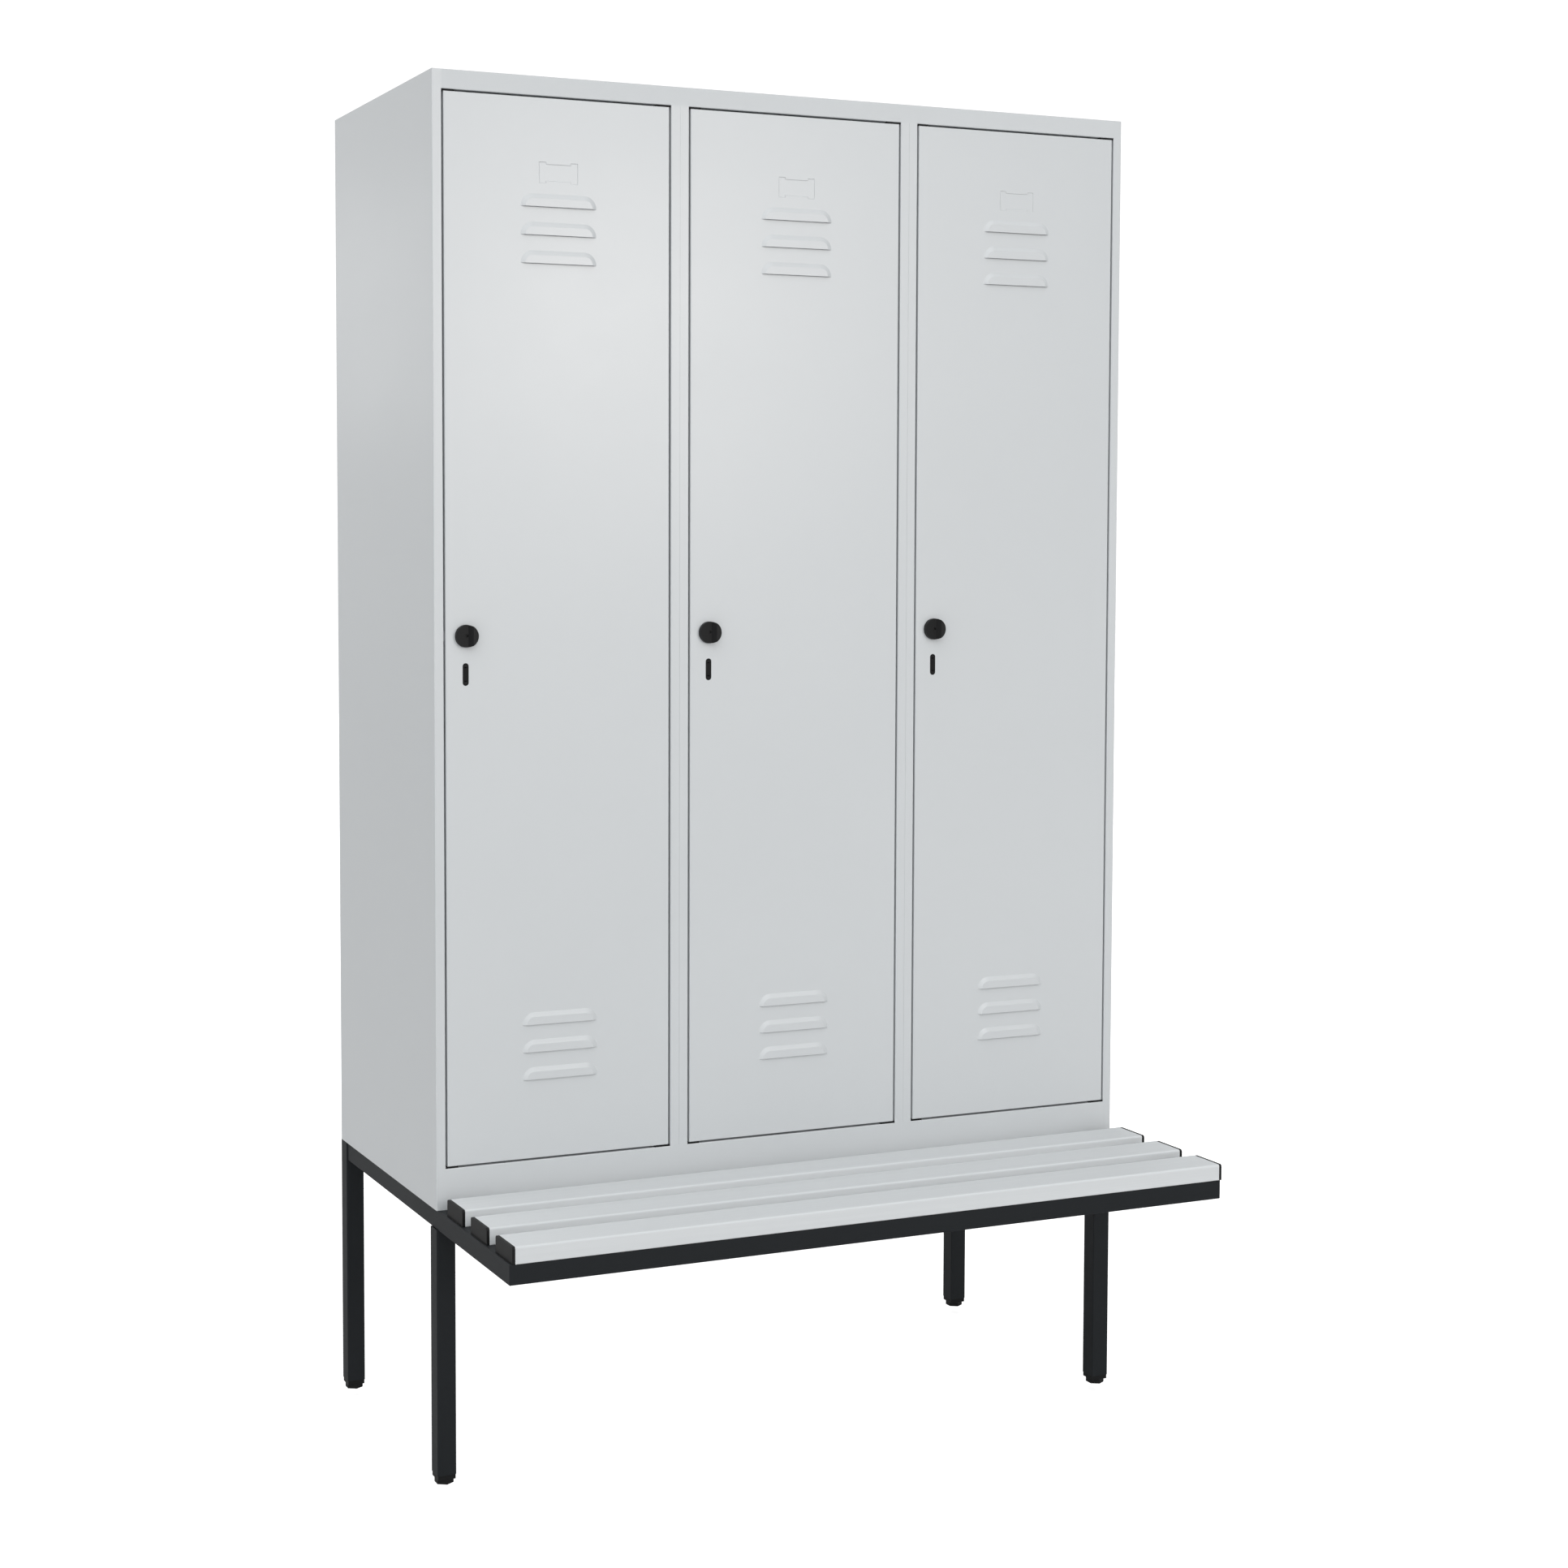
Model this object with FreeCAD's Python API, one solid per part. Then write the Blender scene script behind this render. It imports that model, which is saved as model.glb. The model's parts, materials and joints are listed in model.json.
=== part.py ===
import FreeCAD, Part
import math
import os

from FreeCAD import Vector

# A steel locker with three full-height doors, on a square-tube base that carries a slatted bench in front.
# Millimetres. The origin is on the floor, under the middle of the whole unit.
# +X is to the right seen from the front, -Y is the front, +Z is up.

# Names of repeated pieces, from left to right and from front to back
DOOR_NAMES = ("left", "middle", "right")
PARTITION_NAMES = ("left", "right")
SLAT_NAMES = ("front", "middle", "rear")

# Whole unit
cabinet_width = 1200.0
cabinet_depth = 500.0
body_height = 1700.0
base_height = 423.0
bench_reach = 310.0

# Sheet steel of the cabinet
sheet = 0.8
bend = 1.2
stile_width = 15.0
top_fascia = 28.5
bottom_fascia = 62.5
rear_lap = 15.0
back_margin = 4.0
stop_width = 8.0
stop_clearance = 2.0
seam_width = 0.8
seam_depth = 0.3

# Door pans and their stiffeners
door_gap = 3.0
door_depth = 20.0
door_lip = 14.0
stiffener_width = 60.0
stiffener_depth = 14.0
stiffener_foot = 12.0
stiffener_margin = 30.0

# Louvres pressed into the doors, open at the lower edge
louvre_rows = 3
louvre_width = 122.0
louvre_height = 19.0
louvre_rise = 2.6
louvre_bevel = 6.5
louvre_pitch = 42.2
top_louvre_drop = 161.5
bottom_louvre_lift = 121.5

# Field for a name label, pressed into the doors and taller at both ends
label_width = 62.0
label_height = 31.0
label_drop = 95.0
label_end = 11.0
label_waist = 3.0
label_depth = 0.5

# Door hinges: steel pins in plastic bearings
pin_radius = 3.0
pin_reach = 10.0
pin_edge = 12.0
pin_setback = 7.0
pin_head_radius = 5.5
pin_head_height = 3.0
bearing_length = 25.0
bearing_depth = 15.0
bearing_taper = 8.0
bearing_thin_end = 1.6
bearing_setback = 1.0
bush_radius = 5.0
bush_height = 9.0
running_clearance = 0.05
door_play = 0.3
buffer_length = 20.0
buffer_play = 0.6

# Lock: turn knob that drives a latch bolt into the stile and a padlock staple out of a slot
lock_edge = 31.5
lock_height = 800.0
knob_radius = 17.0
knob_front_radius = 16.7
knob_depth = 13.0
knob_low_side = 7.0
knob_valley = 5.0
knob_valley_shift = 2.5
knob_wing_run = 6.0
knob_round = 1.0
knob_dimple_radius = 2.4
knob_dimple_depth = 2.5
knob_clearance = 0.4
spindle_radius = 6.0
spindle_play = 0.5
stake_radius = 8.0
stake_height = 2.5
stake_clearance = 0.3
latch_height = 15.0
latch_thickness = 4.0
latch_setback = 7.0
latch_nose = 2.2
latch_round = 1.0
latch_travel = 10.0
latch_play = 0.1
latch_slot_play = 0.5
latch_spindle_gap = 2.0
strike_play = 1.0
slot_drop = 57.6
slot_width = 9.6
slot_length = 34.0
nose_recess = 0.2
fit_clearance = 0.1
case_half_width = 20.0
case_margin = 8.0
case_clearance = 0.9
case_round = 4.0
staple_thickness = 4.0
staple_height = 22.0
staple_travel = 16.0
staple_tail = 4.0
staple_recess = 0.3
staple_play = 0.15
staple_round = 3.0
padlock_hole_radius = 4.5
padlock_hole_setback = 8.0

# Inside each compartment
hat_space = 260.0
shelf_setback = 60.0
shelf_lip = 25.0
coat_rail_radius = 10.0
coat_rail_wall = 1.5
coat_rail_drop = 50.0
coat_rail_setback = 250.0
rail_flange_radius = 17.0
rail_flange = 3.0
hook_clearance = 0.3
hook_ring_wall = 2.7
hook_width = 14.0
hook_stem = 26.0
hook_curve = 12.0
hook_bar = 5.0

# Base frame of square tube
tube = 30.0
tube_wall = 2.0
tube_round = 1.5
rail_inset = 2.0
bench_rail_setback = 1.0
collar_height = 7.0
collar_inset = 1.0
plug_length = 30.0
foot_height = 7.5
foot_flats = 25.9
stud_radius = 4.0
stud_length = 40.0

# Bench slats and their end caps
slat_width = 68.0
slat_thickness = 25.0
slat_rear_gap = 32.0
slat_round = 3.0
slat_wall = 2.5
slat_chambers = 3
slat_left_inset = 6.0
cap_thickness = 4.5
cap_round = 4.0
spigot_length = 8.0

# Fasteners
bolt_radius = 3.0
bolt_clearance = 0.3
bolt_inset = 100.0
bolt_end = 2.0
bolt_flats = 10.0
bolt_head = 4.0
nut_height = 5.0
screw_edge = 6.5
screw_radius = 2.5
screw_bite = 8.0
screw_head_radius = 5.0
screw_head = 3.0

# Places worked out from the sizes
SAME_PLACE = 0.001
HEX_SIDES = 6
half_width = cabinet_width / 2
foot_overhang = max(0, foot_flats / math.sqrt(3) - tube / 2)
bench_front = -(bench_reach + cabinet_depth + foot_overhang) / 2
cabinet_front = bench_front + bench_reach
cabinet_back = cabinet_front + cabinet_depth
body_bottom = base_height
body_top = body_bottom + body_height
opening_bottom = body_bottom + bottom_fascia
opening_top = body_top - top_fascia
pitch = cabinet_width / len(DOOR_NAMES)
fold_depth = door_depth + stop_clearance
skin_back = cabinet_front + sheet
stop_front = cabinet_front + fold_depth - sheet
stop_back = cabinet_front + fold_depth
lap_back = cabinet_back - sheet
lap_front = lap_back - sheet
door_bottom = opening_bottom + door_gap
door_top = opening_top - door_gap
rail_bottom = base_height - tube
rail_outer = half_width - rail_inset
bench_rail_front = bench_front + bench_rail_setback
tube_bottom = foot_height + collar_height
pin_line = cabinet_front + pin_setback
knob_line = door_bottom + lock_height
slot_line = knob_line - slot_drop
case_back = cabinet_front + door_depth - sheet - case_clearance
latch_front = cabinet_front + latch_setback
shelf_top = body_top - hat_space
coat_rail_line = shelf_top - coat_rail_drop
coat_rail_depth = cabinet_front + coat_rail_setback
slat_pitch = (bench_reach - slat_rear_gap - slat_width) / (len(SLAT_NAMES) - 1)
slat_ends = (-half_width + slat_left_inset + cap_thickness, half_width - cap_thickness)


def block(xs, ys, zs):
    """Box between pairs of X, Y and Z."""
    corner = Vector(xs[0], ys[0], zs[0])
    return Part.makeBox(xs[1] - xs[0], ys[1] - ys[0], zs[1] - zs[0], corner)


def strip(edge, way, near, far, ys, zs):
    """Box that lies sideways of an upright edge, between two distances from it."""
    xs = sorted((edge + way * near, edge + way * far))
    return block(xs, ys, zs)


def rod(radius, start, reach):
    """Cylinder from a point along the vector to its other end."""
    return Part.makeCylinder(radius, reach.Length, start, reach)


def prism(points, reach):
    """Straight solid on a closed polygon."""
    return Part.Face(Part.makePolygon(points + points[:1])).extrude(reach)


def hexagon(flats, centre, height):
    """Upright hexagonal prism with a corner to the front."""
    radius = flats / math.sqrt(3)
    turns = [math.pi * (2 * k / HEX_SIDES - 1 / 2) for k in range(HEX_SIDES)]
    points = [centre + Vector(radius * math.cos(a), radius * math.sin(a), 0) for a in turns]
    return prism(points, Vector(0, 0, height))


def joined(shapes):
    """One solid from touching shapes."""
    return shapes[0].multiFuse(shapes[1:]).removeSplitter()


def edges_at(shape, x=None, y=None, z=None):
    """Edges of a shape that lie wholly at the given coordinates."""
    def lies(edge):
        return all(
            want is None or abs(have - want) < SAME_PLACE
            for vertex in edge.Vertexes
            for have, want in zip(vertex.Point, (x, y, z))
        )
    return [edge for edge in shape.Edges if lies(edge)]


def save(name, *solids):
    """Write one node, a single solid or a group of like ones."""
    shape = solids[0] if len(solids) == 1 else Part.makeCompound(list(solids))
    shape.exportStep(f"parts/{name}.step")


def sides(index):
    """Left and right boundary of a compartment."""
    left = -half_width + index * pitch
    return left, left + pitch


def opening(index):
    """Left and right edge of a door opening."""
    left, right = sides(index)
    return left + stile_width, right - stile_width


def door_sides(index):
    """Left and right edge of a door."""
    left, right = opening(index)
    return left + door_gap, right - door_gap


def inner_sides(index):
    """Inner faces of a compartment's two walls."""
    left, right = sides(index)
    return left + sheet, right - sheet


def pin_place(index):
    return door_sides(index)[1] - pin_edge


def lock_place(index):
    return door_sides(index)[0] + lock_edge


def latch_slot(edge, way, depth, play):
    """Opening for a latch bolt in an upright sheet, larger all round by the play."""
    ys = (latch_front - play, latch_front + latch_thickness + play)
    rise = latch_height / 2 + play
    return strip(edge, way, 0, depth, ys, (knob_line - rise, knob_line + rise))


def folded_edge(edge, way, face_zs, fold_zs):
    """Front edge of an upright sheet, folded back at right angles."""
    face = strip(edge, way, 0, stile_width, (cabinet_front, skin_back), face_zs)
    fold = strip(edge, way, stile_width - sheet, stile_width, (cabinet_front, stop_back), fold_zs)
    return joined([face, fold])


def stile(edge, way, with_lock):
    """Folded edge beside a door, with a rounded corner, and with stop and strike on the lock side."""
    zs = (opening_bottom, opening_top)
    inner = edge + way * stile_width
    front = folded_edge(edge, way, zs, zs)
    front = front.makeFillet(bend, edges_at(front, x=inner, y=cabinet_front))
    if not with_lock:
        return [front]
    front = front.cut(latch_slot(inner, -way, sheet, strike_play))
    return [front, strip(inner, way, -sheet, stop_width, (stop_front, stop_back), zs)]


def side_panel(outer, way, with_lock):
    """Side sheet, flush with the fascias in front, with a lap for the back panel behind."""
    zs = (body_bottom, body_top)
    wall = strip(outer, way, 0, sheet, (cabinet_front, lap_back), zs)
    lap = strip(outer, way, 0, rear_lap, (lap_front, lap_back), zs)
    lower = folded_edge(outer, way, (body_bottom, opening_bottom), (body_bottom + sheet, opening_bottom))
    upper = folded_edge(outer, way, (opening_top, body_top), (opening_top, body_top - sheet))
    panel = joined([wall, lap, lower, upper] + stile(outer, way, with_lock))
    corners = [edge for y in (cabinet_front, lap_back) for edge in edges_at(panel, x=outer, y=y)]
    return panel.makeFillet(bend, corners)


def partition(line):
    """Two folded sheets back to back, with a fine seam down the middle of their double stile."""
    zs = (opening_bottom, opening_top)
    wall_zs = (body_bottom + sheet, body_top - sheet)
    wall_xs = (line - sheet, line + sheet)
    pieces = stile(line, -1, False) + stile(line, 1, True)
    pieces.append(block(wall_xs, (cabinet_front, stop_back), zs))
    pieces.append(block(wall_xs, (stop_back, lap_front), wall_zs))
    seam_xs = (line - seam_width / 2, line + seam_width / 2)
    return joined(pieces).cut(block(seam_xs, (cabinet_front, cabinet_front + seam_depth), zs))


def back_panel():
    """Sheet on the laps of the sides, the top and the floor, a little smaller than the cabinet."""
    half = half_width - back_margin
    return block((-half, half), (lap_back, cabinet_back), (body_bottom + back_margin, body_top - back_margin))


def fascia(xs, face_zs, fold_zs):
    """Front edge of the top or the floor, folded back above or below the doors."""
    face = block(xs, (cabinet_front, skin_back), face_zs)
    return joined([face, block(xs, (cabinet_front, stop_back), fold_zs)])


def end_sheet(outer, way):
    """Flat of the top or the floor, folded to a lap for the back panel behind."""
    inside = half_width - sheet
    lap_end = half_width - rear_lap
    flat = block((-inside, inside), (skin_back, lap_front), sorted((outer, outer + way * sheet)))
    lap = block((-lap_end, lap_end), (lap_front, lap_back), sorted((outer, outer + way * rear_lap)))
    folded = joined([flat, lap])
    return folded.makeFillet(bend, edges_at(folded, y=lap_back, z=outer))


def end_panel(flat, face_zs, fold_zs, fold_edge):
    """Top or floor of the cabinet, with a fascia whose corner is rounded along each door."""
    pieces = [flat]
    for index in range(len(DOOR_NAMES)):
        front = fascia(opening(index), face_zs, fold_zs)
        pieces.append(front.makeFillet(bend, edges_at(front, y=cabinet_front, z=fold_edge)))
    for index in range(len(PARTITION_NAMES)):
        pieces.append(fascia((opening(index)[1], opening(index + 1)[0]), face_zs, fold_zs))
    panel = joined(pieces)
    holes = [
        rod(bush_radius + fit_clearance, Vector(pin_place(i), pin_line, fold_zs[0]), Vector(0, 0, sheet))
        for i in range(len(DOOR_NAMES))
    ]
    return panel.cut(holes)


def top_panel():
    fold_zs = (opening_top, opening_top + sheet)
    return end_panel(end_sheet(body_top, -1), (opening_top, body_top), fold_zs, opening_top)


def bolt_places():
    """Where the cabinet is bolted to the side rails."""
    line = rail_outer - tube / 2
    rows = (cabinet_front + bolt_inset, cabinet_back - bolt_inset)
    return [(way * line, row) for way in (-1, 1) for row in rows]


def floor_panel():
    fold_zs = (opening_bottom - sheet, opening_bottom)
    flat = end_sheet(body_bottom, 1)
    panel = end_panel(flat, (body_bottom, opening_bottom), fold_zs, opening_bottom)
    radius = bolt_radius + bolt_clearance
    return panel.cut([rod(radius, Vector(x, y, body_bottom), Vector(0, 0, sheet)) for x, y in bolt_places()])


def hat_shelf(index):
    xs = inner_sides(index)
    front = cabinet_front + shelf_setback
    top = block(xs, (front, lap_front), (shelf_top - sheet, shelf_top))
    lip = block(xs, (front, front + sheet), (shelf_top - shelf_lip, shelf_top))
    shelf = joined([top, lip])
    return shelf.makeFillet(bend, edges_at(shelf, y=front, z=shelf_top))


def coat_rail(index):
    """Tube between two flanges that sit on the compartment's walls."""
    left, right = inner_sides(index)
    start = Vector(left, coat_rail_depth, coat_rail_line)
    reach = Vector(right - left, 0, 0)
    flange = Vector(rail_flange, 0, 0)
    bar = joined([
        rod(coat_rail_radius, start, reach),
        rod(rail_flange_radius, start, flange),
        rod(rail_flange_radius, start + reach - flange, flange),
    ])
    return bar.cut(rod(coat_rail_radius - coat_rail_wall, start, reach))


def hook_arm(xs, way, level):
    """Half ring with a round tip, to the front or the back of the stem."""
    reach = Vector(xs[1] - xs[0], 0, 0)
    centre = Vector(xs[0], coat_rail_depth + way * hook_curve, level)
    rim = hook_curve + hook_bar / 2
    ring = rod(rim, centre, reach).cut(rod(rim - hook_bar, centre, reach))
    lower = block(xs, (centre.y - rim, centre.y + rim), (level - rim, level))
    tip = rod(hook_bar / 2, centre + Vector(0, way * hook_curve, 0), reach)
    return [ring.common(lower), tip]


def coat_hook(index):
    """Double hook under a ring that slides along the coat rail."""
    middle = sum(sides(index)) / 2
    bore = coat_rail_radius + hook_clearance
    rim = bore + hook_ring_wall
    start = Vector(middle - hook_width / 2, coat_rail_depth, coat_rail_line)
    reach = Vector(hook_width, 0, 0)
    level = coat_rail_line - rim - hook_stem
    half = hook_bar / 2
    xs = (middle - half, middle + half)
    stem = block(xs, (coat_rail_depth - half, coat_rail_depth + half), (level, coat_rail_line - bore))
    hook = joined([rod(rim, start, reach), stem] + hook_arm(xs, -1, level) + hook_arm(xs, 1, level))
    return hook.cut(rod(bore, start, reach))


def louvre_radius(front):
    """Corner radius of a louvre's outer form at a distance in front of the door's face."""
    return louvre_height - louvre_bevel * front / louvre_rise


def louvre_outline(middle, foot, radius, depth):
    """Flat-footed outline with two rounded upper corners."""
    half = louvre_width / 2 - louvre_height
    diagonal = radius / math.sqrt(2)

    def point(x, z):
        return Vector(middle + x, depth, foot + z)

    right = Part.Arc(point(half + radius, 0), point(half + diagonal, diagonal), point(half, radius))
    left = Part.Arc(point(-half, radius), point(-half - diagonal, diagonal), point(-half - radius, 0))
    return Part.Wire([
        right.toShape(),
        Part.makeLine(point(half, radius), point(-half, radius)),
        left.toShape(),
        Part.makeLine(point(-half - radius, 0), point(half + radius, 0)),
    ])


def louvre(middle, foot):
    """Outer form of a louvre and the hollow behind it."""
    wall = sheet * math.hypot(louvre_rise, louvre_bevel) / louvre_rise
    outer = Part.makeLoft([
        louvre_outline(middle, foot, louvre_radius(-sheet / 2), cabinet_front + sheet / 2),
        louvre_outline(middle, foot, louvre_radius(louvre_rise), cabinet_front - louvre_rise),
    ], True, True)
    hollow = Part.makeLoft([
        louvre_outline(middle, foot, louvre_radius(-sheet) - wall, skin_back),
        louvre_outline(middle, foot, louvre_radius(louvre_rise - sheet) - wall, skin_back - louvre_rise),
    ], True, True)
    return outer, hollow


def louvre_feet():
    """Heights of the louvres' lower edges."""
    rows = [row * louvre_pitch for row in range(louvre_rows)]
    upper = [door_top - top_louvre_drop - row for row in rows]
    lower = [door_bottom + bottom_louvre_lift + row for row in rows]
    return upper, lower


def label_form(middle, grow, ys):
    """Outline of the label's field, larger all round by the growth."""
    top = door_top - label_drop
    half = label_width / 2
    end_zs = (top - label_height - grow, top + grow)
    waist_zs = (end_zs[0] + label_waist, end_zs[1] - label_waist)
    pieces = [block((middle - half, middle + half), ys, waist_zs)]
    for way in (-1, 1):
        pieces.append(strip(middle, way, half - label_end - grow, half + grow, ys, end_zs))
    return joined(pieces)


def slot_form(middle, play, ys):
    """Upright slot with round ends, smaller all round by the play."""
    radius = slot_width / 2 - play
    rise = slot_length / 2 - play - radius
    reach = Vector(0, ys[1] - ys[0], 0)
    ends = [rod(radius, Vector(middle, ys[0], slot_line + way * rise), reach) for way in (-1, 1)]
    core = block((middle - radius, middle + radius), ys, (slot_line - rise, slot_line + rise))
    return joined([core] + ends)


def door_panel(index):
    """Folded pan with a lip all round, louvres, label field and the lock's holes."""
    left, right = door_sides(index)
    middle = (left + right) / 2
    back = cabinet_front + door_depth
    pan = block((left, right), (cabinet_front, back), (door_bottom, door_top))
    pan = pan.makeFillet(bend, edges_at(pan, y=cabinet_front))
    hollow = block(
        (left + sheet, right - sheet), (skin_back, back - sheet), (door_bottom + sheet, door_top - sheet)
    )
    window_zs = (door_bottom + door_lip, door_top - door_lip)
    window = block((left + door_lip, right - door_lip), (back - sheet, back), window_zs)
    pan = pan.cut([hollow, window])
    upper, lower = louvre_feet()
    forms = [louvre(middle, foot) for foot in upper + lower]
    pressed = label_form(middle, sheet, (skin_back, skin_back + label_depth))
    pan = joined([pan, pressed] + [outer for outer, _ in forms])
    lock = lock_place(index)
    cuts = [inner for _, inner in forms]
    cuts.append(label_form(middle, 0, (cabinet_front, cabinet_front + label_depth)))
    cuts.append(latch_slot(left, 1, sheet, latch_slot_play))
    cuts.append(slot_form(lock, 0, (cabinet_front, skin_back)))
    spindle_start = Vector(lock, cabinet_front, knob_line)
    cuts.append(rod(spindle_radius + spindle_play, spindle_start, Vector(0, sheet, 0)))
    for seat in (door_bottom, door_top - sheet):
        pin_start = Vector(pin_place(index), pin_line, seat)
        cuts.append(rod(pin_radius + fit_clearance, pin_start, Vector(0, 0, sheet)))
    return pan.cut(cuts)


def door_stiffener(index):
    """Hat channel behind the door's face, between the two groups of louvres."""
    left, right = door_sides(index)
    middle = (left + right) / 2
    upper, lower = louvre_feet()
    zs = (lower[-1] + louvre_height + stiffener_margin, upper[-1] - stiffener_margin)
    half = stiffener_width / 2
    crown = half - stiffener_foot
    back = skin_back + stiffener_depth
    pieces = [block((middle - crown, middle + crown), (back - sheet, back), zs)]
    for way in (-1, 1):
        pieces.append(strip(middle, way, crown - sheet, crown, (skin_back, back), zs))
        pieces.append(strip(middle, way, crown - sheet, half, (skin_back, skin_back + sheet), zs))
    return joined(pieces)


def hinge_pins(index):
    """Upper and lower pin of a door, each with its head inside the pan."""
    pins = []
    for edge, way in ((door_top, 1), (door_bottom, -1)):
        seat = Vector(pin_place(index), pin_line, edge - way * sheet)
        head = rod(pin_head_radius, seat, Vector(0, 0, -way * pin_head_height))
        pins.append(joined([head, rod(pin_radius, seat, Vector(0, 0, way * (sheet + pin_reach)))]))
    return pins


def hinge_bearing(index, edge, way):
    """Bearing in the gap above or below a door, with a bush through the fascia's fold."""
    right = opening(index)[1]
    left = right - bearing_length
    front = cabinet_front + bearing_setback
    thick = door_gap - door_play
    points = [(right, 0), (right, thick), (left + bearing_taper, thick), (left, bearing_thin_end), (left, 0)]
    corners = [Vector(x, front, edge - way * z) for x, z in points]
    pad = prism(corners, Vector(0, bearing_depth, 0))
    seat = Vector(pin_place(index), pin_line, edge)
    bush = rod(bush_radius, seat, Vector(0, 0, way * bush_height))
    through = Vector(0, 0, way * (thick + bush_height))
    bore = rod(pin_radius + running_clearance, seat - Vector(0, 0, way * thick), through)
    return joined([pad, bush]).cut(bore)


def door_buffer(index, edge, way):
    """Soft stop in the gap at a door's lock-side corner."""
    left = opening(index)[0]
    front = cabinet_front + bearing_setback
    zs = sorted((edge, edge - way * (door_gap - buffer_play)))
    return block((left, left + buffer_length), (front, front + bearing_depth), zs)


def door_corners(make):
    """The same fitting at the top and the bottom of every door opening."""
    ends = ((opening_top, 1), (opening_bottom, -1))
    return [make(i, edge, way) for i in range(len(DOOR_NAMES)) for edge, way in ends]


def lock_case(index):
    """Housing behind the door's face: spindle bore, guides for latch and staple, nose in the slot."""
    lock = lock_place(index)
    zs = (slot_line - slot_length / 2 - case_margin, knob_line + knob_radius + case_margin)
    body = block((lock - case_half_width, lock + case_half_width), (skin_back, case_back), zs)
    upright = [edge for edge in body.Edges if abs(edge.tangentAt(edge.FirstParameter).y) > SAME_PLACE]
    body = body.makeFillet(case_round, upright)
    nose = slot_form(lock, fit_clearance, (cabinet_front + nose_recess, skin_back))
    reach = Vector(0, case_back - cabinet_front, 0)
    bore = rod(spindle_radius + running_clearance, Vector(lock, cabinet_front, knob_line), reach)
    half = staple_thickness / 2 + staple_play
    rise = staple_height / 2 + staple_play
    passage = block(
        (lock - half, lock + half), (cabinet_front, case_back), (slot_line - rise, slot_line + rise)
    )
    guide = latch_slot(lock - case_half_width, 1, case_half_width - latch_tail(), latch_play)
    return joined([body, nose]).cut([bore, passage, guide])


def knob(index):
    """Round knob with a wing on one side of its face, on a spindle staked behind the lock case."""
    lock = lock_place(index)
    back = Vector(lock, cabinet_front - knob_clearance, knob_line)
    front = back.y - knob_depth
    grip = Part.makeCone(knob_radius, knob_front_radius, knob_depth, back, Vector(0, -1, 0))
    grip = grip.makeFillet(knob_round, edges_at(grip, y=front))
    foot = knob_line - knob_radius
    valley = prism(
        [
            Vector(lock - knob_radius, front, foot),
            Vector(lock - knob_radius, back.y - knob_low_side, foot),
            Vector(lock + knob_valley_shift, back.y - knob_valley, foot),
            Vector(lock + knob_valley_shift + knob_wing_run, front, foot),
        ],
        Vector(0, 0, 2 * knob_radius),
    )
    dimple_reach = Vector(0, knob_depth - knob_valley + knob_dimple_depth, 0)
    dimple = rod(knob_dimple_radius, Vector(lock, front, knob_line), dimple_reach)
    stake_start = Vector(lock, case_back + stake_clearance, knob_line)
    spindle = rod(spindle_radius, back, stake_start - back)
    stake = rod(stake_radius, stake_start, Vector(0, stake_height, 0))
    return joined([grip, spindle, stake]).cut([valley, dimple])


def latch_tail():
    """Distance of a drawn-back latch bolt's inner end from the spindle's axis."""
    return spindle_radius + latch_spindle_gap


def latch_bolt(index):
    """Flat bolt drawn back, with its nose in the gap beside the door."""
    ys = (latch_front, latch_front + latch_thickness)
    rise = latch_height / 2
    xs = (door_sides(index)[0] - latch_nose, lock_place(index) - latch_tail())
    bolt = block(xs, ys, (knob_line - rise, knob_line + rise))
    return bolt.makeFillet(latch_round, edges_at(bolt, x=xs[0]))


def staple(index):
    """Padlock tongue with a hole, drawn back inside the slot."""
    lock = lock_place(index)
    front = cabinet_front + staple_recess
    back = case_back + staple_travel + staple_tail
    half = staple_thickness / 2
    rise = staple_height / 2
    tongue = block((lock - half, lock + half), (front, back), (slot_line - rise, slot_line + rise))
    corners = edges_at(tongue, y=front, z=slot_line - rise) + edges_at(tongue, y=front, z=slot_line + rise)
    tongue = tongue.makeFillet(staple_round, corners)
    hole = Vector(lock - half, front + padlock_hole_setback, slot_line)
    return tongue.cut(rod(padlock_hole_radius, hole, Vector(staple_thickness, 0, 0)))


def square_tube(xs, ys, zs, along):
    """Hollow tube with rounded long edges, open at both ends of the axis it runs along."""
    outer = block(xs, ys, zs)
    long_edges = [e for e in outer.Edges if abs(e.tangentAt(e.FirstParameter)[along]) > SAME_PLACE]
    outer = outer.makeFillet(tube_round, long_edges)
    spans = [(low + tube_wall, high - tube_wall) for low, high in (xs, ys, zs)]
    spans[along] = (xs, ys, zs)[along]
    return outer.cut(block(*spans))


def tube_holes(places, radius):
    """Upright holes through the rails."""
    return [rod(radius, Vector(x, y, rail_bottom), Vector(0, 0, tube)) for x, y in places]


def mitre(way):
    """Corner block in front of the slanting cut where a side rail meets the bench's front rail."""
    outer = way * rail_outer
    inner = way * (rail_outer - tube)
    corners = [
        Vector(outer, bench_rail_front, rail_bottom),
        Vector(inner, bench_rail_front, rail_bottom),
        Vector(inner, bench_rail_front + tube, rail_bottom),
    ]
    return prism(corners, Vector(0, 0, tube))


def slat_line(index):
    """Middle of a slat, counted from the front."""
    return bench_front + slat_width / 2 + index * slat_pitch


def screw_places():
    """Where the slats are screwed to the side rails."""
    line = rail_outer - tube + screw_edge
    return [(way * line, slat_line(i)) for way in (-1, 1) for i in range(len(SLAT_NAMES))]


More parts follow.
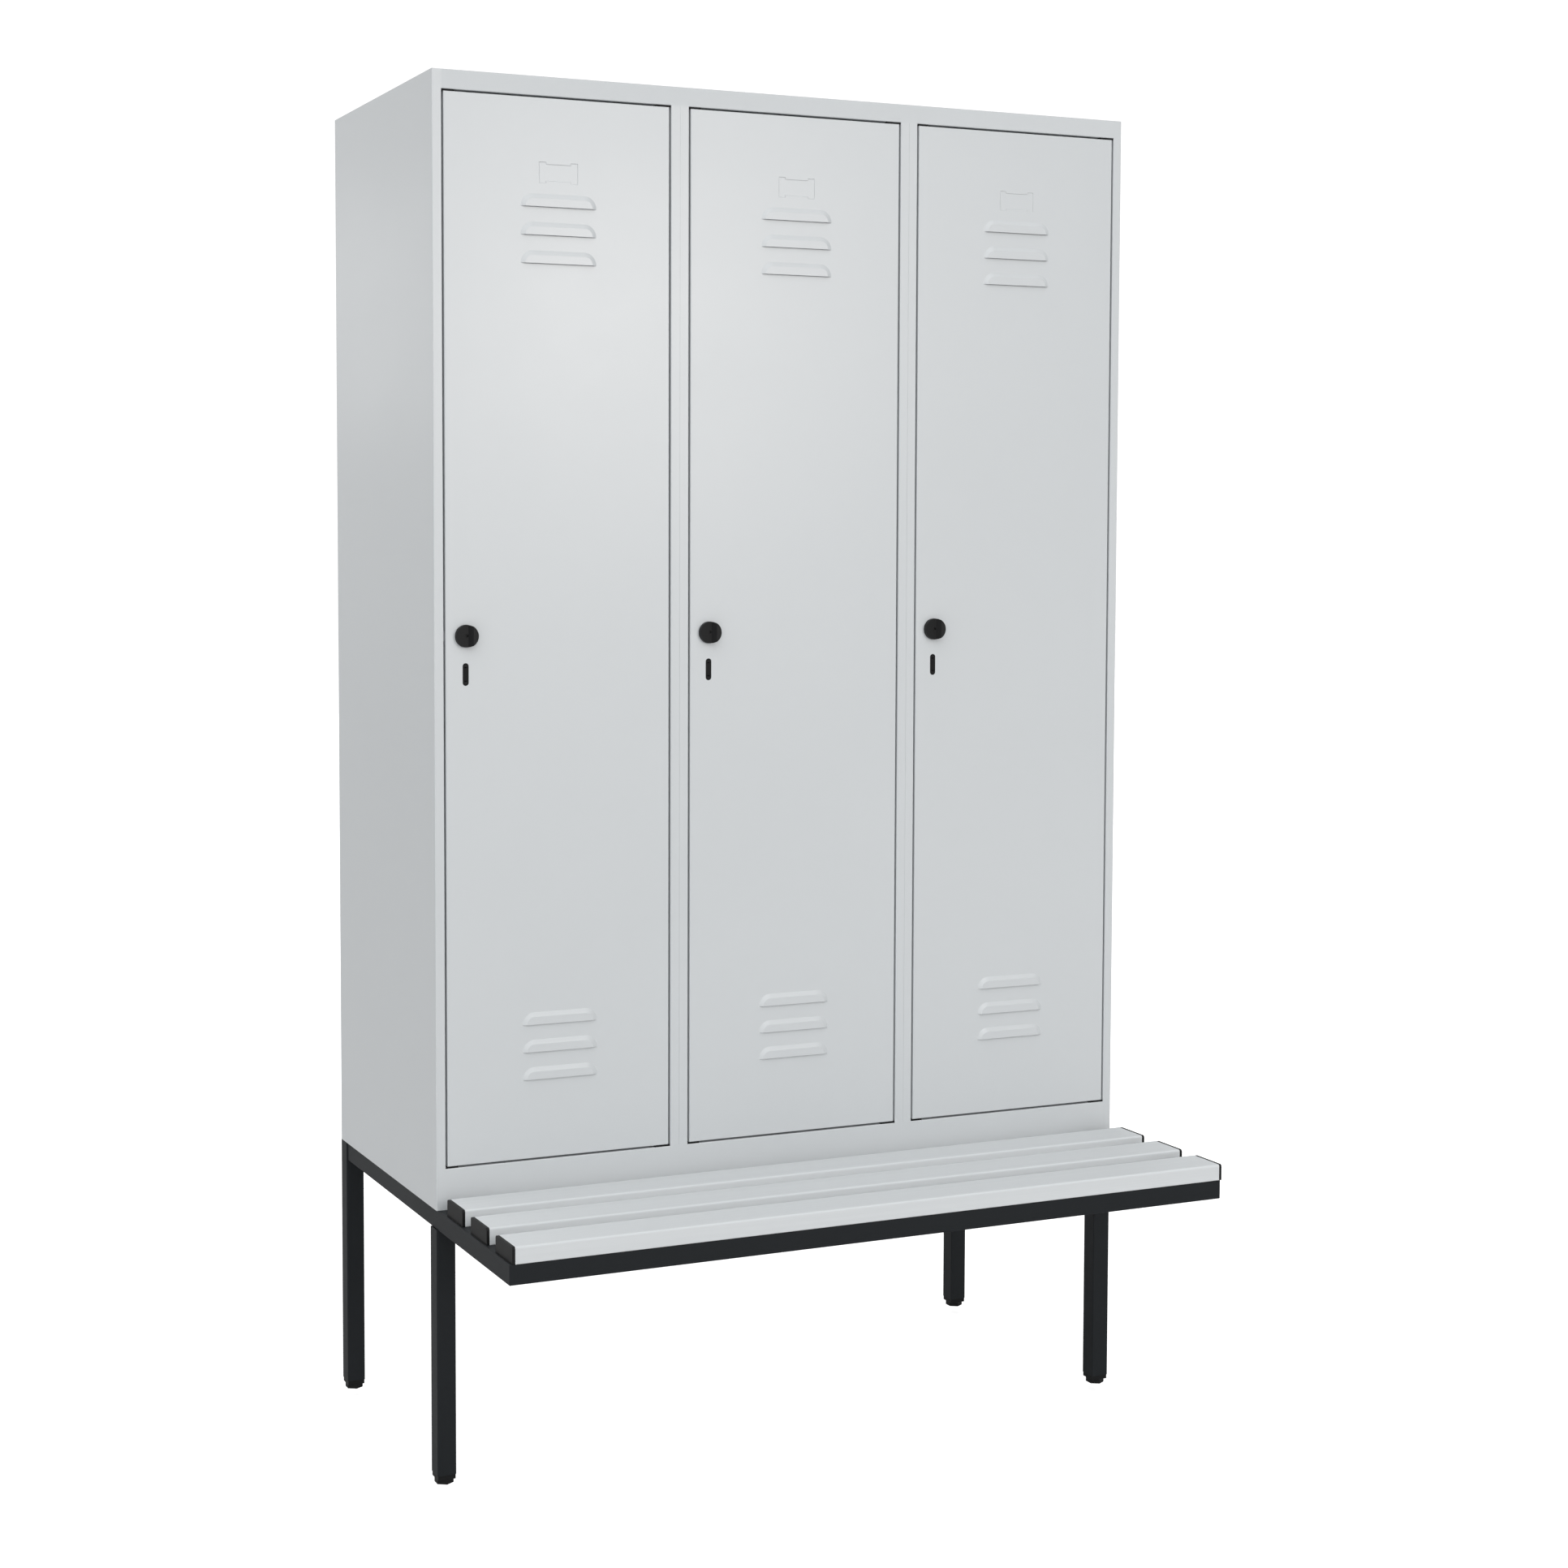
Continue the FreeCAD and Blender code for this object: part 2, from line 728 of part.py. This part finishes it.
def side_rail(way):
    xs = sorted((way * rail_outer, way * (rail_outer - tube)))
    rail = square_tube(xs, (bench_rail_front, cabinet_back - tube), (rail_bottom, base_height), 1)
    cuts = [mitre(way)]
    cuts += tube_holes([p for p in bolt_places() if p[0] * way > 0], bolt_radius + bolt_clearance)
    cuts += tube_holes([p for p in screw_places() if p[0] * way > 0], screw_radius + bolt_clearance)
    return rail.cut(cuts)


def bench_front_rail():
    ys = (bench_rail_front, bench_rail_front + tube)
    rail = square_tube((-rail_outer, rail_outer), ys, (rail_bottom, base_height), 0)
    corner = (rail_bottom, base_height)
    keep = [block((-rail_outer + tube, rail_outer - tube), ys, corner), mitre(-1), mitre(1)]
    rail = rail.common(joined(keep))
    return rail.cut(tube_holes(screw_places(), screw_radius + bolt_clearance))


def cross_rail(half, front):
    return square_tube((-half, half), (front, front + tube), (rail_bottom, base_height), 0)


def leg(way, front, top):
    xs = sorted((way * half_width, way * (half_width - tube)))
    return square_tube(xs, (front, front + tube), (tube_bottom, top), 2)


def leg_places():
    """Name, side, front face and top of each leg."""
    return (
        ("front_left", -1, cabinet_front, rail_bottom),
        ("front_right", 1, cabinet_front, rail_bottom),
        ("back_left", -1, cabinet_back - tube, base_height),
        ("back_right", 1, cabinet_back - tube, base_height),
    )


def leg_middle(way, front):
    return Vector(way * (half_width - tube / 2), front + tube / 2, 0)


def centred_block(middle, half, zs):
    """Square block about an upright line."""
    return block((middle.x - half, middle.x + half), (middle.y - half, middle.y + half), zs)


def leg_insert(way, front):
    """Plug in a leg's lower end, with a collar below it and a bore for the foot's stud."""
    middle = leg_middle(way, front)
    collar = centred_block(middle, tube / 2 - collar_inset, (foot_height, tube_bottom))
    plug_half = tube / 2 - tube_wall - fit_clearance
    plug = centred_block(middle, plug_half, (tube_bottom, tube_bottom + plug_length))
    bore_start = middle + Vector(0, 0, foot_height)
    bore = rod(stud_radius + running_clearance, bore_start, Vector(0, 0, collar_height + plug_length))
    return joined([collar, plug]).cut(bore)


def levelling_foot(way, front):
    """Hexagonal foot on a threaded stud."""
    middle = leg_middle(way, front)
    stud = rod(stud_radius, middle, Vector(0, 0, foot_height + stud_length))
    return joined([hexagon(foot_flats, middle, foot_height), stud])


def slat_profile(line, start, reach, radius):
    """Bar with the slat's outline and two rounded upper edges."""
    ys = (line - slat_width / 2, line + slat_width / 2)
    top = base_height + slat_thickness
    bar = block((start, start + reach), ys, (base_height, top))
    return bar.makeFillet(radius, edges_at(bar, y=ys[0], z=top) + edges_at(bar, y=ys[1], z=top))


def slat_hollows(line, xs, play):
    """Chambers along a slat, smaller all round by the play."""
    clear = (slat_width - slat_wall) / slat_chambers
    zs = (base_height + slat_wall + play, base_height + slat_thickness - slat_wall - play)
    starts = [line - slat_width / 2 + slat_wall + k * clear for k in range(slat_chambers)]
    return [block(xs, (y + play, y + clear - slat_wall - play), zs) for y in starts]


def slat(index):
    line = slat_line(index)
    bar = slat_profile(line, slat_ends[0], slat_ends[1] - slat_ends[0], slat_round)
    holes = [
        rod(screw_radius + running_clearance, Vector(x, y, base_height), Vector(0, 0, slat_wall))
        for x, y in screw_places()
        if abs(y - line) < SAME_PLACE
    ]
    return bar.cut(slat_hollows(line, slat_ends, 0) + holes)


def slat_end_cap(index, way):
    """Cap on a slat's end with spigots in its chambers."""
    line = slat_line(index)
    end = slat_ends[0] if way < 0 else slat_ends[1]
    start = min(end, end + way * cap_thickness)
    cap = slat_profile(line, start, cap_thickness, cap_round)
    spigot_xs = sorted((end, end - way * spigot_length))
    return joined([cap] + slat_hollows(line, spigot_xs, fit_clearance))


def slat_screw(x, y):
    seat = Vector(x, y, rail_bottom)
    shank = rod(screw_radius, seat, Vector(0, 0, tube + screw_bite))
    return joined([shank, rod(screw_head_radius, seat, Vector(0, 0, -screw_head))])


def cabinet_bolt(x, y):
    """Bolt up through a side rail and the cabinet's floor."""
    head = hexagon(bolt_flats, Vector(x, y, rail_bottom - bolt_head), bolt_head)
    length = tube + sheet + nut_height + bolt_end
    return joined([head, rod(bolt_radius, Vector(x, y, rail_bottom), Vector(0, 0, length))])


def cabinet_nut(x, y):
    seat = Vector(x, y, body_bottom + sheet)
    return hexagon(bolt_flats, seat, nut_height).cut(
        rod(bolt_radius + running_clearance, seat, Vector(0, 0, nut_height))
    )


def save_cabinet():
    save("side_panel_left", side_panel(-half_width, 1, True))
    save("side_panel_right", side_panel(half_width, -1, False))
    for index, name in enumerate(PARTITION_NAMES):
        save(f"partition_{name}", partition(sides(index)[1]))
    save("back_panel", back_panel())
    save("top_panel", top_panel())
    save("floor_panel", floor_panel())
    save("hinge_bearings", *door_corners(hinge_bearing))
    save("door_buffers", *door_corners(door_buffer))
    save("cabinet_bolts", *[make(x, y) for x, y in bolt_places() for make in (cabinet_bolt, cabinet_nut)])


def save_compartments():
    for index, name in enumerate(DOOR_NAMES):
        save(f"hat_shelf_{name}", hat_shelf(index))
        save(f"coat_rail_{name}", coat_rail(index))
        save(f"coat_hook_{name}", coat_hook(index))
        save(f"door_panel_{name}", door_panel(index))
        save(f"door_stiffener_{name}", door_stiffener(index))
        save(f"hinge_pins_{name}", *hinge_pins(index))
        save(f"lock_case_{name}", lock_case(index))
        save(f"knob_{name}", knob(index))
        save(f"latch_bolt_{name}", latch_bolt(index))
        save(f"staple_{name}", staple(index))


def save_base():
    save("side_rail_left", side_rail(-1))
    save("side_rail_right", side_rail(1))
    save("rear_rail", cross_rail(half_width - tube, cabinet_back - tube))
    save("middle_rail", cross_rail(rail_outer - tube, cabinet_front))
    save("bench_front_rail", bench_front_rail())
    for name, way, front, top in leg_places():
        save(f"leg_{name}", leg(way, front, top))
        save(f"levelling_foot_{name}", levelling_foot(way, front))
    save("leg_inserts", *[leg_insert(way, front) for _, way, front, _ in leg_places()])


def save_bench():
    for index, name in enumerate(SLAT_NAMES):
        save(f"slat_{name}", slat(index))
    save("slat_end_caps", *[slat_end_cap(i, way) for i in range(len(SLAT_NAMES)) for way in (-1, 1)])
    save("slat_screws", *[slat_screw(x, y) for x, y in screw_places()])


os.makedirs("parts", exist_ok=True)
save_cabinet()
save_compartments()
save_base()
save_bench()
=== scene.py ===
import json
import math

import bpy
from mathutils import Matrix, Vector

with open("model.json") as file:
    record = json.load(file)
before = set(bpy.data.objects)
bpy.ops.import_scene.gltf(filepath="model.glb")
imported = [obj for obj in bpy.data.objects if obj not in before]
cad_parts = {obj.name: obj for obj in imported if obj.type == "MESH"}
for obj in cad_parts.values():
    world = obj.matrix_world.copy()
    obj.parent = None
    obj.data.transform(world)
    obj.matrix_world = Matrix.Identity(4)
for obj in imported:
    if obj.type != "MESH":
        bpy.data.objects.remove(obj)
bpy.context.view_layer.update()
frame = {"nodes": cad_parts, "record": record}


# Node trees

def add(tree, kind, values=None, **settings):
    """A node with its settings, and values on its inputs by socket name."""
    made = tree.nodes.new(kind)
    for key, value in settings.items():
        setattr(made, key, value)
    for socket, value in (values or {}).items():
        made.inputs[socket].default_value = value
    return made


def grade(tree, value, start, stop, low, high):
    """A level that goes from low to high while a value goes from start to stop."""
    made = add(tree, "ShaderNodeMapRange", {"From Min": start, "From Max": stop, "To Min": low, "To Max": high})
    tree.links.new(value, made.inputs["Value"])
    return made.outputs["Result"]


def product(tree, first, *others):
    """Several levels multiplied."""
    level = first
    for other in others:
        both = add(tree, "ShaderNodeMath", operation="MULTIPLY")
        tree.links.new(level, both.inputs[0])
        tree.links.new(other, both.inputs[1])
        level = both.outputs[0]
    return level


def patches(tree, size, detail, roughness):
    """Noise over a piece, with patches as large as the size in metres."""
    place_in = add(tree, "ShaderNodeTexCoord")
    per_metre = add(tree, "ShaderNodeMath", {0: 1.0}, operation="DIVIDE")
    noise = add(tree, "ShaderNodeTexNoise", {"Detail": detail, "Roughness": roughness})
    tree.links.new(size, per_metre.inputs[1])
    tree.links.new(per_metre.outputs[0], noise.inputs["Scale"])
    tree.links.new(place_in.outputs["Object"], noise.inputs["Vector"])
    return noise.outputs["Fac"]


# Shared effects

def new_group(name, inputs, outputs):
    """An empty shader node group with named sockets, and its two ends."""
    group = bpy.data.node_groups.new(name, "ShaderNodeTree")
    for label, value in inputs.items():
        group.interface.new_socket(label, in_out="INPUT", socket_type="NodeSocketFloat").default_value = value
    for label, kind in outputs.items():
        group.interface.new_socket(label, in_out="OUTPUT", socket_type=kind)
    return group, add(group, "NodeGroupInput"), add(group, "NodeGroupOutput")


def place(tree, group, **values):
    """A group node in a material, with its own values."""
    made = add(tree, "ShaderNodeGroup", node_tree=group)
    for label, value in values.items():
        made.inputs[label.replace("_", " ")].default_value = value
    return made


def surface_grain():
    """Fine relief of a sprayed or moulded surface, and a slow drift of its tone."""
    group, start, end = new_group(
        "surface_grain",
        {"Grain size": 0.0015, "Drift size": 0.35},
        {"Relief": "NodeSocketFloat", "Drift": "NodeSocketFloat"},
    )
    for size, detail, label in (("Grain size", 2.0, "Relief"), ("Drift size", 3.0, "Drift")):
        noise = patches(group, start.outputs[size], detail, roughness=0.55)
        group.links.new(noise, end.inputs[label])
    return group


def edge_rub():
    """Mask of the outer edges, where a finish is thinner and gets rubbed."""
    flat, turned_away = 0.995, 0.8
    sparse, dense, least_rub = 0.35, 0.7, 0.25
    group, start, end = new_group("edge_rub", {"Width": 0.0015, "Patch size": 0.03}, {"Edge": "NodeSocketFloat"})
    eased = add(group, "ShaderNodeBevel", samples=4)
    shape = add(group, "ShaderNodeNewGeometry")
    alike = add(group, "ShaderNodeVectorMath", operation="DOT_PRODUCT")
    group.links.new(start.outputs["Width"], eased.inputs["Radius"])
    group.links.new(eased.outputs["Normal"], alike.inputs[0])
    group.links.new(shape.outputs["True Normal"], alike.inputs[1])
    turned = grade(group, alike.outputs["Value"], flat, turned_away, 0.0, 1.0)
    patch = patches(group, start.outputs["Patch size"], detail=3.0, roughness=0.5)
    spread = grade(group, patch, sparse, dense, least_rub, 1.0)
    group.links.new(product(group, turned, spread), end.inputs["Edge"])
    return group


def eased_edges():
    """Normal of a surface whose edges are slightly rounded."""
    group, start, end = new_group("eased_edges", {"Radius": 0.001}, {"Normal": "NodeSocketVector"})
    eased = add(group, "ShaderNodeBevel", samples=8)
    group.links.new(start.outputs["Radius"], eased.inputs["Radius"])
    group.links.new(eased.outputs["Normal"], end.inputs["Normal"])
    return group


def settled_dust():
    """Mask of thin dust on faces that look up."""
    steepest, level = 0.6, 1.0
    sparse, dense, least_dust = 0.3, 0.75, 0.2
    group, start, end = new_group("settled_dust", {"Amount": 0.1, "Patch size": 0.08}, {"Dust": "NodeSocketFloat"})
    shape = add(group, "ShaderNodeNewGeometry")
    upward = add(group, "ShaderNodeSeparateXYZ")
    group.links.new(shape.outputs["Normal"], upward.inputs[0])
    facing = grade(group, upward.outputs["Z"], steepest, level, 0.0, 1.0)
    patch = patches(group, start.outputs["Patch size"], detail=6.0, roughness=0.65)
    spread = grade(group, patch, sparse, dense, least_dust, 1.0)
    group.links.new(product(group, facing, spread, start.outputs["Amount"]), end.inputs["Dust"])
    return group


# Finishes

dust_grey = (0.62, 0.61, 0.59)


def blend_colours(tree, mask, low, high):
    """Colour between two shades, or from a socket to a shade, by a mask."""
    made = add(tree, "ShaderNodeMix", data_type="RGBA")
    tree.links.new(mask, made.inputs["Factor"])
    for socket, shade in ((made.inputs[6], low), (made.inputs[7], high)):
        if isinstance(shade, bpy.types.NodeSocket):
            tree.links.new(shade, socket)
        else:
            socket.default_value = (*shade, 1.0)
    return made.outputs[2]


def new_finish(name, **constants):
    """A material with a Principled shader, and constants on its own sockets."""
    made = bpy.data.materials.new(name)
    made.use_nodes = True
    shader = made.node_tree.nodes["Principled BSDF"]
    for label, value in constants.items():
        shader.inputs[label.replace("_", " ")].default_value = value
    return made, made.node_tree, shader


def set_gloss(tree, shader, mask, gloss):
    """Roughness that drifts between two values."""
    noise_low, noise_high = 0.25, 0.75
    tree.links.new(grade(tree, mask, noise_low, noise_high, *gloss), shader.inputs["Roughness"])


def set_relief(tree, groups, shader, height, strength, depth, ease):
    """Fine relief on a surface, with eased edges where a radius is given."""
    bump = add(tree, "ShaderNodeBump", {"Strength": strength, "Distance": depth})
    if ease:
        eased = place(tree, groups["ease"], Radius=ease)
        tree.links.new(eased.outputs["Normal"], bump.inputs["Normal"])
    tree.links.new(height, bump.inputs["Height"])
    tree.links.new(bump.outputs["Normal"], shader.inputs["Normal"])


def coated_finish(name, groups, shades, edge, rub_width, dust, gloss, sheen, grain_size, depth, ease):
    """Powder coat or moulded plastic: drifting tone, rubbed edges, a little dust, fine relief."""
    made, tree, shader = new_finish(name, Specular_IOR_Level=sheen)
    grain = place(tree, groups["grain"], Grain_size=grain_size)
    rub = place(tree, groups["edge"], Width=rub_width)
    settled = place(tree, groups["dust"], Amount=dust)
    tone = blend_colours(tree, grain.outputs["Drift"], *shades)
    rubbed = blend_colours(tree, rub.outputs["Edge"], tone, edge)
    dusted = blend_colours(tree, settled.outputs["Dust"], rubbed, dust_grey)
    tree.links.new(dusted, shader.inputs["Base Color"])
    set_gloss(tree, shader, grain.outputs["Drift"], gloss)
    set_relief(tree, groups, shader, grain.outputs["Relief"], strength=0.25, depth=depth, ease=ease)
    return made


def slat_finish(name, groups):
    """Drawn grey plastic with faint lines along its length."""
    shades, edge = ((0.56, 0.585, 0.6), (0.606, 0.631, 0.646)), (0.625, 0.645, 0.655)
    lines_per_metre = (1.5, 260.0, 260.0)
    made, tree, shader = new_finish(name, Specular_IOR_Level=0.28)
    grain = place(tree, groups["grain"], Grain_size=0.0012, Drift_size=0.5)
    rub = place(tree, groups["edge"], Width=0.002)
    settled = place(tree, groups["dust"], Amount=0.08)
    place_in = add(tree, "ShaderNodeTexCoord")
    along = add(tree, "ShaderNodeMapping", {"Scale": lines_per_metre})
    lines = add(tree, "ShaderNodeTexNoise", {"Scale": 1.0, "Detail": 2.0})
    tree.links.new(place_in.outputs["Object"], along.inputs["Vector"])
    tree.links.new(along.outputs["Vector"], lines.inputs["Vector"])
    tone = blend_colours(tree, lines.outputs["Fac"], *shades)
    rubbed = blend_colours(tree, rub.outputs["Edge"], tone, edge)
    dusted = blend_colours(tree, settled.outputs["Dust"], rubbed, dust_grey)
    tree.links.new(dusted, shader.inputs["Base Color"])
    set_gloss(tree, shader, grain.outputs["Drift"], gloss=(0.6, 0.68))
    set_relief(tree, groups, shader, lines.outputs["Fac"], strength=0.15, depth=0.0002, ease=0.002)
    return made


def zinc_finish(name, groups):
    """Bright zinc plating with mottled gloss."""
    shades, edge = ((0.46, 0.47, 0.49), (0.62, 0.63, 0.65)), (0.75, 0.75, 0.76)
    made, tree, shader = new_finish(name, Metallic=1.0)
    grain = place(tree, groups["grain"], Grain_size=0.002, Drift_size=0.02)
    rub = place(tree, groups["edge"], Width=0.0008)
    tone = blend_colours(tree, grain.outputs["Drift"], *shades)
    rubbed = blend_colours(tree, rub.outputs["Edge"], tone, edge)
    tree.links.new(rubbed, shader.inputs["Base Color"])
    set_gloss(tree, shader, grain.outputs["Relief"], gloss=(0.28, 0.42))
    set_relief(tree, groups, shader, grain.outputs["Relief"], strength=0.2, depth=0.00005, ease=0.0004)
    return made


def grey_coat(name, groups, rub_width, ease, gloss=(0.28, 0.34), sheen=0.5):
    """Light grey powder coat of the cabinet's sheets."""
    return coated_finish(
        name, groups, shades=((0.535, 0.56, 0.575), (0.555, 0.58, 0.595)), edge=(0.59, 0.612, 0.627),
        rub_width=rub_width, dust=0.08, gloss=gloss, sheen=sheen, grain_size=0.0016, depth=0.00004, ease=ease,
    )


def finishes():
    """Every finish by the record's slot name, and those of the pressed doors, satin sheets and knobs."""
    groups = {"grain": surface_grain(), "edge": edge_rub(), "ease": eased_edges(), "dust": settled_dust()}
    return {
        "cabinet_paint": grey_coat("light_grey_powder_coat", groups, rub_width=0.0002, ease=0.0),
        "door_paint": grey_coat("light_grey_door_coat", groups, rub_width=0.0012, ease=0.0012),
        "satin_paint": grey_coat(
            "light_grey_satin_coat", groups, rub_width=0.0002, ease=0.0, gloss=(0.46, 0.52), sheen=0.34,
        ),
        "frame_paint": coated_finish(
            "black_powder_coat", groups,
            shades=((0.0072, 0.0092, 0.0112), (0.0092, 0.0114, 0.0136)), edge=(0.019, 0.022, 0.025),
            rub_width=0.0015, dust=0.012, gloss=(0.5, 0.58), sheen=0.2,
            grain_size=0.001, depth=0.0001, ease=0.0008,
        ),
        "slat_plastic": slat_finish("grey_slat_plastic", groups),
        "black_plastic": coated_finish(
            "black_moulded_plastic", groups,
            shades=((0.0068, 0.0072, 0.0076), (0.0092, 0.0096, 0.01)), edge=(0.018, 0.018, 0.019),
            rub_width=0.0015, dust=0.008, gloss=(0.44, 0.54), sheen=0.14,
            grain_size=0.0006, depth=0.00008, ease=0.0008,
        ),
        "knob_plastic": coated_finish(
            "black_knob_plastic", groups,
            shades=((0.0078, 0.0082, 0.0086), (0.0102, 0.0106, 0.011)), edge=(0.02, 0.02, 0.021),
            rub_width=0.0012, dust=0.0, gloss=(0.42, 0.5), sheen=0.2,
            grain_size=0.0006, depth=0.00008, ease=0.0008,
        ),
        "zinc_steel": zinc_finish("zinc_plated_steel", groups),
        "black_steel": coated_finish(
            "black_coated_steel", groups,
            shades=((0.0062, 0.0064, 0.0068), (0.0084, 0.0086, 0.009)), edge=(0.016, 0.016, 0.017),
            rub_width=0.0015, dust=0.0, gloss=(0.5, 0.6), sheen=0.14,
            grain_size=0.0008, depth=0.00008, ease=0.0004,
        ),
    }


def finish_of(part):
    """Name of a node's finish: its slot's, or its own for door pans, knobs, the top and the right side."""
    own = {"door_panel": "door_paint", "knob": "knob_plastic"}
    if part["node"] in ("top_panel", "side_panel_right"):
        return "satin_paint"
    kind = part["node"].rpartition("_")[0]
    return own.get(kind, part["material_slot"])


def dress_nodes():
    """Gives every CAD node its finish."""
    made = finishes()
    for part in frame["record"]["subparts"]:
        node = frame["nodes"][part["node"]]
        node.data.materials.clear()
        node.data.materials.append(made[finish_of(part)])


# Studio

def pale_floor():
    """Wide plain floor, at the level of feet that are screwed right out."""
    reach, foot_travel = 30.0, 0.015
    level = -foot_travel
    tone, glow, lift_seen = (0.6, 0.6, 0.6, 1.0), (1.0, 1.0, 1.0, 1.0), 0.7
    corners = [(-reach, -reach, level), (reach, -reach, level), (reach, reach, level), (-reach, reach, level)]
    mesh = bpy.data.meshes.new("floor")
    mesh.from_pydata(corners, [], [(0, 1, 2, 3)])
    floor = bpy.data.objects.new("floor", mesh)
    bpy.context.scene.collection.objects.link(floor)
    made, tree, shader = new_finish("pale_floor", Base_Color=tone, Roughness=0.9, Emission_Color=glow)
    path = add(tree, "ShaderNodeLightPath")
    lift = add(tree, "ShaderNodeMath", {1: lift_seen}, operation="MULTIPLY")
    tree.links.new(path.outputs["Is Camera Ray"], lift.inputs[0])
    tree.links.new(lift.outputs[0], shader.inputs["Emission Strength"])
    floor.data.materials.append(made)


def soft_light(name, place_at, target, size, power, tint):
    """Large soft light that faces a point."""
    data = bpy.data.lights.new(name, "AREA")
    data.color = tint
    data.shape = "RECTANGLE"
    data.size, data.size_y = size
    data.energy = power
    light = bpy.data.objects.new(name, data)
    light.location = place_at
    light.rotation_euler = (Vector(target) - Vector(place_at)).to_track_quat("-Z", "Y").to_euler()
    light.visible_camera = False
    bpy.context.scene.collection.objects.link(light)


def studio_sky(tree):
    """White surroundings, brighter overhead and in front, dimmer at both sides, plain white behind the unit."""
    ahead, behind, backdrop_level = 1.56, 0.91, 1.1
    left, right = 0.52, 0.1
    horizon, overhead = 0.96, 1.63
    sky = tree.nodes["Background"]
    sky.inputs["Color"].default_value = (1.0, 1.0, 1.0, 1.0)
    place_in = add(tree, "ShaderNodeTexCoord")
    axes = add(tree, "ShaderNodeSeparateXYZ")
    tree.links.new(place_in.outputs["Generated"], axes.inputs[0])
    level = product(
        tree,
        grade(tree, axes.outputs["Y"], -1.0, 0.1, ahead, behind),
        grade(tree, axes.outputs["X"], -1.0, -0.2, left, 1.0),
        grade(tree, axes.outputs["X"], 0.33, 0.54, 1.0, right),
        grade(tree, axes.outputs["Z"], 0.0, 1.0, horizon, overhead),
    )
    path = add(tree, "ShaderNodeLightPath")
    seen = add(tree, "ShaderNodeMix", {"B": backdrop_level})
    tree.links.new(path.outputs["Is Camera Ray"], seen.inputs["Factor"])
    tree.links.new(level, seen.inputs["A"])
    tree.links.new(seen.outputs[0], sky.inputs["Strength"])


def studio():
    """Surroundings, two softboxes and the floor."""
    scene = bpy.context.scene
    scene.view_settings.view_transform = "Standard"
    world = bpy.data.worlds.new("studio")
    world.use_nodes = True
    studio_sky(world.node_tree)
    scene.world = world
    soft_light(
        "front_softbox", place_at=(2.6, -7.0, 2.5), target=(-0.3, -0.1, 1.8),
        size=(1.1, 1.2), power=74.0, tint=(1.0, 0.94, 0.9),
    )
    soft_light(
        "side_softbox", place_at=(-2.02, 4.4, 2.22), target=(-0.6, 0.15, 1.85),
        size=(1.2, 0.8), power=1.8, tint=(1.0, 1.0, 1.0),
    )
    pale_floor()


def photo_camera():
    """Camera at the photograph's place and angle."""
    stand = (-1.7933, -3.6319, 1.4272)
    yaw, pitch = math.radians(23.053), math.radians(3.354)
    data = bpy.data.cameras.new("photo_camera")
    data.sensor_width = 36.0
    data.lens = 57.54
    data.shift_x, data.shift_y = 0.10, -0.06
    camera = bpy.data.objects.new("photo_camera", data)
    camera.location = stand
    look = Vector((math.sin(yaw) * math.cos(pitch), math.cos(yaw) * math.cos(pitch), -math.sin(pitch)))
    camera.rotation_euler = look.to_track_quat("-Z", "Y").to_euler()
    bpy.context.scene.collection.objects.link(camera)
    bpy.context.scene.camera = camera


dress_nodes()
studio()
photo_camera()
